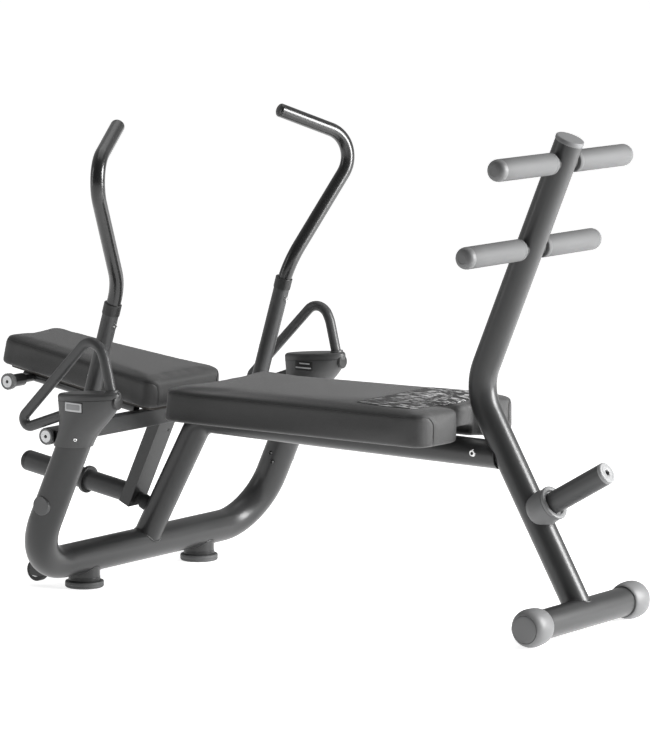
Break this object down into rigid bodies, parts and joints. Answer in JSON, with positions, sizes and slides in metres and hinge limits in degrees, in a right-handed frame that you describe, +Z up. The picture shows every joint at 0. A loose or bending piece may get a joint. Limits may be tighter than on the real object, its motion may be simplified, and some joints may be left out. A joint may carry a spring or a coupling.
{
  "type": "abdominal crunch bench",
  "caption": "Plate-loaded abdominal crunch bench: fixed seat on a tube frame, hinged head pad with overhead arms and a pendulum horn, ankle rollers on an inclined post.",
  "frame": {"origin": "bottom centre of the bounding box, on the floor in the symmetry plane", "axes": "+X from the head end to the foot end, +Y to the far side, +Z up"},
  "size_m": [1.6713, 0.9818, 1.1025],
  "materials": {
    "frame_paint": "satin powder coat",
    "arm_paint": "satin powder coat",
    "upholstery": "grained leatherette",
    "grip_rubber": "smooth glossy rubber",
    "roller_foam": "matt skinned foam",
    "cap_grey": "moulded plastic",
    "foot_rubber": "moulded rubber",
    "bracket_plastic": "moulded plastic",
    "black_plastic": "moulded plastic",
    "horn_sleeve": "satin powder coat",
    "bright_steel": "brushed",
    "board_ply": "black stained plywood",
    "tyre_rubber": "matt rubber"
  },
  "bodies": {
    "frame": {"base_tube": "frame_paint", "foot_sleeve_near": "frame_paint", "foot_sleeve_far": "frame_paint", "foot_pad_near": "foot_rubber", "foot_pad_far": "foot_rubber", "upright_plug_near": "black_plastic", "upright_plug_far": "black_plastic", "wheel_bracket_near": "frame_paint", "wheel_bracket_far": "frame_paint", "loop_near": "arm_paint", "loop_far": "arm_paint", "bracket_outer_near": "bracket_plastic", "bracket_outer_far": "bracket_plastic", "bracket_inner_near": "bracket_plastic", "bracket_inner_far": "bracket_plastic", "bracket_gasket_near": "black_plastic", "bracket_gasket_far": "black_plastic", "hinge_housing_near": "black_plastic", "hinge_housing_far": "black_plastic", "hinge_cap_near": "cap_grey", "hinge_cap_far": "cap_grey", "centre_post": "frame_paint", "beam_saddle": "black_plastic", "foot_post": "frame_paint", "foot_post_cap": "cap_grey", "cross_tube": "frame_paint", "cross_cap_near": "cap_grey", "cross_cap_far": "cap_grey", "storage_collar": "frame_paint", "storage_horn": "horn_sleeve", "storage_cap": "cap_grey", "roller_rod_upper": "bright_steel", "roller_rod_lower": "bright_steel", "seat_pad": "upholstery", "seat_strap_head": "frame_paint", "seat_strap_foot": "frame_paint", "bumper": "tyre_rubber"},
    "crunch_frame": {"crossbar": "arm_paint", "pendulum_link": "frame_paint", "weight_horn": "horn_sleeve", "horn_flange": "frame_paint", "horn_cap": "black_plastic", "arm_near": "arm_paint", "arm_far": "arm_paint", "arm_collar_near": "black_plastic", "arm_collar_far": "black_plastic", "grip_near": "grip_rubber", "grip_far": "grip_rubber", "pad_frame": "frame_paint", "head_board": "board_ply", "head_pad": "upholstery", "peg_cap_near": "cap_grey", "peg_cap_far": "cap_grey"},
    "roller_upper_near": {"roller_upper_near": "roller_foam"},
    "roller_upper_far": {"roller_upper_far": "roller_foam"},
    "roller_lower_near": {"roller_lower_near": "roller_foam"},
    "roller_lower_far": {"roller_lower_far": "roller_foam"},
    "wheel_near": {"wheel_near": "tyre_rubber"},
    "wheel_far": {"wheel_far": "tyre_rubber"}
  },
  "joints": [
    {"name": "crunch_hinge", "type": "hinge", "parent": "frame", "child": "crunch_frame", "pos_m": [-0.404, 0, 0.386], "axis": [0, 1, 0], "range_deg": [0, 25]},
    {"name": "roller_upper_near_spin", "type": "hinge", "parent": "frame", "child": "roller_upper_near", "pos_m": [0.6992, -0.15, 1.034], "axis": [0, 1, 0], "continuous": true},
    {"name": "roller_upper_far_spin", "type": "hinge", "parent": "frame", "child": "roller_upper_far", "pos_m": [0.6992, 0.15, 1.034], "axis": [0, 1, 0], "continuous": true},
    {"name": "roller_lower_near_spin", "type": "hinge", "parent": "frame", "child": "roller_lower_near", "pos_m": [0.6182, -0.15, 0.841], "axis": [0, 1, 0], "continuous": true},
    {"name": "roller_lower_far_spin", "type": "hinge", "parent": "frame", "child": "roller_lower_far", "pos_m": [0.6182, 0.15, 0.841], "axis": [0, 1, 0], "continuous": true},
    {"name": "wheel_near_spin", "type": "hinge", "parent": "frame", "child": "wheel_near", "pos_m": [-0.566, -0.275, 0.038], "axis": [0, 1, 0], "continuous": true},
    {"name": "wheel_far_spin", "type": "hinge", "parent": "frame", "child": "wheel_far", "pos_m": [-0.566, 0.275, 0.038], "axis": [0, 1, 0], "continuous": true}
  ]
}
